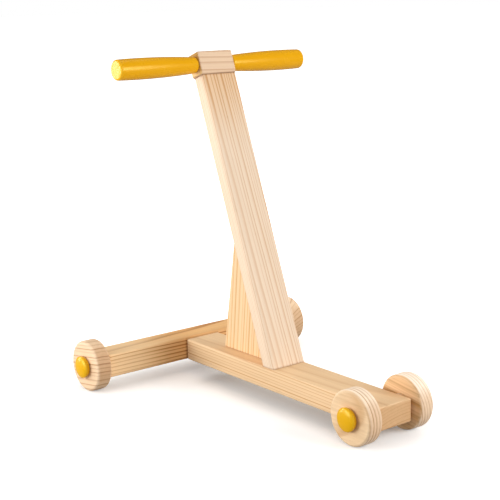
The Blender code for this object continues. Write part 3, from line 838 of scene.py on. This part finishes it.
def add_screws(material, cutters):
    hosts = {
        "post_screw_left": "post",
        "post_screw_right": "post",
        "gusset_screw_front": "gusset_brace",
        "gusset_screw_rear": "gusset_brace",
    }
    for node, host in hosts.items():
        low, high = span(node)
        length = high.z - low.z
        radius = (high.x - low.x) / 2
        placement = Matrix.Translation(((low.x + high.x) / 2, (low.y + high.y) / 2, low.z))
        name = f"zinc_{node}"
        mesh = turned_mesh(name, screw_profile(length, radius, 0.0, 0.0), SMALL_SIDES)
        screw = new_object(name, mesh, placement)
        bars = []
        for turn in range(2):
            bar = bmesh.new()
            size = Matrix.Diagonal((RECESS_LENGTH, RECESS_WIDTH, 2 * RECESS_DEPTH, 1.0))
            bmesh.ops.create_cube(bar, size=1.0, matrix=size)
            bar_mesh = shaded_mesh(bar, f"{node}_recess")
            crossed = placement @ Matrix.Rotation(turn * pi / 2, 4, "Z")
            bars.append(new_object(f"{node}_recess", bar_mesh, crossed))
        finish_board(screw, bars)
        for bar in bars:
            bpy.data.objects.remove(bar)
        dress(screw, node, material)
        profile = screw_profile(length, radius, FIT_GAP, -CUT_OVERSHOOT)
        hole = new_object(f"{node}_hole", turned_mesh(f"{node}_hole", profile, SMALL_SIDES), placement)
        cutters["base_plank"].append(hole)
        cutters[host].append(hole)


# Boards


def add_box_board(node, radius):
    """A board with square ends, rounded on all its edges, in its own axes about its middle."""
    axes = BOARD_AXES[node]
    low, high = span(node, axes)
    half = (high - low) / 2
    outline = [(-half.y, -half.z), (half.y, -half.z), (half.y, half.z), (-half.y, half.z)]
    name = f"pine_{node}"
    board = new_object(name, prism_mesh(name, outline, -half.x, half.x))
    board.matrix_world = axes @ Matrix.Translation((low + high) / 2)
    round_edges(board, radius)
    return board


def add_post():
    low, high = span("post", TILTED)
    half = (high - low) / 2
    heel = -half.z + 2 * half.y * tan(POST_TILT)
    outline = [(-half.y, -half.z), (half.y, heel), (half.y, half.z), (-half.y, half.z)]
    post = new_object("pine_post", prism_mesh("pine_post", outline, -half.x, half.x))
    post.matrix_world = TILTED @ Matrix.Translation((low + high) / 2)
    round_edges(post, POST_EDGE_ROUND, lambda along: abs(along.z) > cos(POST_TILT))
    return post


def add_gusset():
    low, high = span("gusset_brace", TILTED)
    half = (high - low) / 2
    back_foot = (half.y, -half.z + 2 * half.y * tan(POST_TILT))
    tip_back = (GUSSET_TIP - half.y, half.z)
    outline = [(-half.y, -half.z), back_foot, tip_back, (-half.y, half.z)]
    gusset = new_object("pine_gusset_brace", prism_mesh("pine_gusset_brace", outline, -half.x, half.x))
    gusset.matrix_world = TILTED @ Matrix.Translation((low + high) / 2)
    back = Vector((0, tip_back[0] - back_foot[0], tip_back[1] - back_foot[1])).normalized()
    round_edges(gusset, GUSSET_EDGE_ROUND, lambda along: abs(along.dot(back)) > cos(POST_TILT / 2))
    return gusset


# Light and stage


def add_softbox(name, place, aim, size, power, mirrored):
    """A soft area light, which can be kept out of mirror images so that it leaves no glare."""
    light = bpy.data.lights.new(name, "AREA")
    light.shape = "RECTANGLE"
    light.size, light.size_y = size
    light.energy = power
    softbox = bpy.data.objects.new(name, light)
    bpy.context.scene.collection.objects.link(softbox)
    softbox.location = place
    softbox.rotation_euler = (Vector(aim) - Vector(place)).to_track_quat("-Z", "Y").to_euler()
    softbox.visible_glossy = mirrored


def seen_directly(tree):
    """1 for rays that show a surface or its mirror image, 0 for those that only gather light."""
    path = add_node(tree, "ShaderNodeLightPath").outputs
    mirrored = calc(tree, "MAXIMUM", path["Is Glossy Ray"], path["Is Transmission Ray"])
    return calc(tree, "MAXIMUM", path["Is Camera Ray"], mirrored)


def add_world():
    """White where the camera sees it, dim in mirror images, and an even fill for all other light."""
    world = bpy.data.worlds.new("white_studio")
    bpy.context.scene.world = world
    world.use_nodes = True
    tree = world.node_tree
    fill = tree.nodes["Background"]
    fill.inputs["Color"].default_value = FILL_COLOUR
    fill.inputs["Strength"].default_value = FILL_LEVEL
    camera_ray = add_node(tree, "ShaderNodeLightPath").outputs["Is Camera Ray"]
    level = calc(tree, "MAXIMUM", camera_ray, MIRROR_LEVEL)
    white = add_node(tree, "ShaderNodeBackground", {"Color": WHITE, "Strength": level})
    inputs = {0: seen_directly(tree), 1: fill.outputs[0], 2: white.outputs[0]}
    mixed = add_node(tree, "ShaderNodeMixShader", inputs)
    tree.links.new(mixed.outputs[0], tree.nodes["World Output"].inputs[0])


def add_floor():
    """A matt white floor. Its own glow, seen but not lighting, makes it white away from the shadow, and stays
    low beside the plank and beam, which paints the shadow's dark core there over the rendered one.
    """
    shape = bmesh.new()
    bmesh.ops.create_grid(shape, x_segments=1, y_segments=1, size=FLOOR_REACH)
    mesh = bpy.data.meshes.new("studio_floor")
    shape.to_mesh(mesh)
    shape.free()
    floor = new_object("studio_floor", mesh, Matrix.Translation((0, 0, -FLOOR_DROP)))
    material = bpy.data.materials.new("studio_floor")
    material.use_nodes = True
    tree = material.node_tree
    tree.nodes.remove(tree.nodes["Principled BSDF"])
    seen = add_node(tree, "ShaderNodeLightPath").outputs["Is Camera Ray"]
    floor_colour = blend_colour(tree, seen, FLOOR_BOUNCE, FLOOR_COLOUR)
    matt = add_node(tree, "ShaderNodeBsdfDiffuse", {"Color": floor_colour})
    place = add_node(tree, "ShaderNodeTexCoord").outputs["Object"]
    plank_low, plank_high = span("base_plank")
    plank_low.y += SHADOW_FRONT_TRIM
    plank_high.y -= SHADOW_REAR_TRIM
    from_plank = beside(tree, place, plank_low, plank_high, SEEN_FROM_ABOVE)
    from_beam = beside(tree, place, *span("rear_crossbeam"), SEEN_FROM_ABOVE)
    # Painted shadow: the glow is lowest beside the plank and beam and rises away from them
    distance = calc(tree, "MINIMUM", from_plank, calc(tree, "ADD", from_beam, SHADOW_BEAM_STEP))
    near_glow = between(tree, distance, 0.0, PAINTED_SHADOW_CORE, FLOOR_GLOW_CORE, FLOOR_GLOW_NEAR)
    far_glow = between(tree, distance, PAINTED_SHADOW_CORE, SHADOW_REACH, 0.0, 1.0 - FLOOR_GLOW_NEAR)
    glow_level = calc(tree, "MULTIPLY", calc(tree, "ADD", near_glow, far_glow), seen)
    glow = add_node(tree, "ShaderNodeEmission", {"Strength": glow_level})
    both = add_node(tree, "ShaderNodeAddShader", {0: matt.outputs[0], 1: glow.outputs[0]})
    tree.links.new(both.outputs[0], tree.nodes["Material Output"].inputs[0])
    mesh.materials.append(material)


def add_camera():
    camera_data = bpy.data.cameras.new("photo_camera")
    camera_data.sensor_width = SENSOR_WIDTH
    camera_data.lens = FOCAL_PIXELS / IMAGE_SIZE * SENSOR_WIDTH
    camera_data.clip_start = CAMERA_CLIP
    camera = bpy.data.objects.new("photo_camera", camera_data)
    bpy.context.scene.collection.objects.link(camera)
    level = cos(CAMERA_ELEVATION)
    back = Vector((sin(CAMERA_AZIMUTH) * level, -cos(CAMERA_AZIMUTH) * level, sin(CAMERA_ELEVATION)))
    right = Vector((cos(CAMERA_AZIMUTH), sin(CAMERA_AZIMUTH), 0))
    up = back.cross(right)
    rolled_right = cos(CAMERA_ROLL) * right + sin(CAMERA_ROLL) * up
    rolled_up = cos(CAMERA_ROLL) * up - sin(CAMERA_ROLL) * right
    turn = Matrix((rolled_right, rolled_up, back)).transposed().to_4x4()
    camera.matrix_world = Matrix.Translation(Vector(CAMERA_TARGET) + back * CAMERA_DISTANCE) @ turn
    bpy.context.scene.camera = camera


bpy.context.scene.view_settings.view_transform = "Standard"
add_camera()
add_world()
add_floor()
for light_name, light_settings in SOFTBOXES.items():
    add_softbox(light_name, *light_settings)

POST_PINE = pine(
    "post_pine",
    early=(0.89, 0.70, 0.52, 1.0),
    late=(0.68, 0.39, 0.18, 1.0),
    pith=(-0.063, 0.12, 0.0),
    trunk=(0.0, radians(-1.7), 0.0),
    pitch=0.0026,
    late_share=0.4,
    wander=0.0015,
    spread=0.5,
    heart_and_shade=(0.10, 0.25),
    pale_radius=(0.130, 0.140),
    joints=neighbours("post", ("base_plank", "gusset_brace", "head_block")),
)
PLANK_PINE = pine(
    "plank_pine",
    early=(0.88, 0.61, 0.35, 1.0),
    late=(0.56, 0.25, 0.06, 1.0),
    pith=(0.02, 0.0, -0.16),
    trunk=(-pi / 2 + radians(0.6), 0.0, 0.0),
    pitch=0.0041,
    wander=0.0015,
    spread=0.4,
    end_figure=0.5,
    face_figure=0.45,
    joints=neighbours("base_plank", ("rear_crossbeam",)),
)
BEAM_PINE = pine(
    "crossbeam_pine",
    early=(0.96, 0.67, 0.37, 1.0),
    late=(0.52, 0.23, 0.06, 1.0),
    pith=(0.0, 0.03, -0.22),
    trunk=(0.0, pi / 2 + radians(0.9), 0.0),
    pitch=0.0050,
    late_share=0.45,
    wander=0.003,
    spread=0.5,
    # The crossbeam turns redder from near its left end towards the plank: heartwood and painted shade of the
    # corner beside the plank
    heart_and_shade=(-0.11, -0.01),
    face_figure=0.4,
    joints=neighbours("rear_crossbeam", ("base_plank",)),
)
GUSSET_PINE = pine(
    "gusset_pine",
    early=(0.90, 0.63, 0.36, 1.0),
    late=(0.66, 0.34, 0.10, 1.0),
    pith=(0.03, 0.15, 0.0),
    trunk=(radians(26.0), 0.0, 0.0),
    pitch=0.0066,
    late_share=0.42,
    wander=0.0022,
    spread=0.5,
    joints=neighbours("gusset_brace", ("base_plank", "post")),
)
HEAD_PINE = pine(
    "head_pine",
    early=(0.88, 0.63, 0.42, 1.0),
    late=(0.66, 0.38, 0.20, 1.0),
    pith=(0.0, 0.03, -0.12),
    trunk=(0.0, pi / 2 + radians(2.0), 0.0),
    pitch=0.0085,
    figure=0.9,
    wander=0.002,
    spread=0.4,
    # The head block's ends: painted shade and a painted yellow reflection at the top, painted light at the
    # bottom
    end_tint=HEAD_END_GRAIN_AND_SHADE,
    painted_end_light=(0.113, 0.121),
    joints=neighbours("head_block", ("post",)),
)
WHEEL_PINES = {
    "front_left": pine(
        "front_left_wheel_pine",
        early=(0.86, 0.61, 0.36, 1.0),
        late=(0.55, 0.28, 0.09, 1.0),
        pith=(0.01, 0.02, -0.24),
        trunk=(-pi / 2 + radians(3.7), radians(1.0), 0.0),
        pitch=0.0050,
        late_share=0.52,
        wander=0.0012,
        spread=0.3,
        tread_wear=0.7,
        streak=0.45,
    ),
    "front_right": pine(
        "front_right_wheel_pine",
        early=(0.81, 0.52, 0.27, 1.0),
        late=(0.66, 0.36, 0.13, 1.0),
        pith=(-0.05, 0.0, 0.20),
        trunk=(-pi / 2, 0.0, radians(8.0)),
        pitch=0.0044,
        late_share=0.42,
        wander=0.0015,
        spread=0.35,
        tread_wear=1.0,
        streak=1.1,
    ),
    "rear_left": pine(
        "rear_left_wheel_pine",
        early=(0.85, 0.61, 0.39, 1.0),
        late=(0.50, 0.26, 0.11, 1.0),
        pith=(-0.16, 0.0, 0.01),
        trunk=(-pi / 2, 0.0, radians(9.0)),
        pitch=0.0054,
        late_share=0.36,
        wander=0.0025,
        spread=0.5,
    ),
    "rear_right": pine(
        "rear_right_wheel_pine",
        early=(0.96, 0.72, 0.48, 1.0),
        late=(0.64, 0.36, 0.17, 1.0),
        pith=(0.14, 0.02, 0.06),
        trunk=(-pi / 2, radians(8.0), 0.0),
        pitch=0.0055,
        figure=0.85,
        wander=0.0025,
        spread=0.5,
    ),
}
PAINT = yellow_paint("yellow_paint", PAINT_DEEP, PAINT_BRIGHT)
PEG_PAINT = yellow_paint("yellow_peg_paint", PEG_PAINT_DEEP, PEG_PAINT_BRIGHT)
BEECH = beech("bare_beech")
ZINC = zinc("zinc_plate")

hole_cutters = {node: [] for node in BOARD_AXES}
add_wheels(WHEEL_PINES)
add_pegs(PEG_PAINT, hole_cutters)
add_washers(BEECH)
add_grips(PAINT, hole_cutters)
add_dowels(BEECH, hole_cutters)
add_screws(ZINC, hole_cutters)

boards = {
    "base_plank": (add_box_board("base_plank", PLANK_EDGE_ROUND), PLANK_PINE),
    "rear_crossbeam": (add_box_board("rear_crossbeam", BEAM_EDGE_ROUND), BEAM_PINE),
    "post": (add_post(), POST_PINE),
    "gusset_brace": (add_gusset(), GUSSET_PINE),
    "head_block": (add_box_board("head_block", HEAD_EDGE_ROUND), HEAD_PINE),
}
for node, (board, timber) in boards.items():
    finish_board(board, hole_cutters[node])
    dress(board, node, timber)
for cutter in dict.fromkeys(cutter for group in hole_cutters.values() for cutter in group):
    bpy.data.objects.remove(cutter)
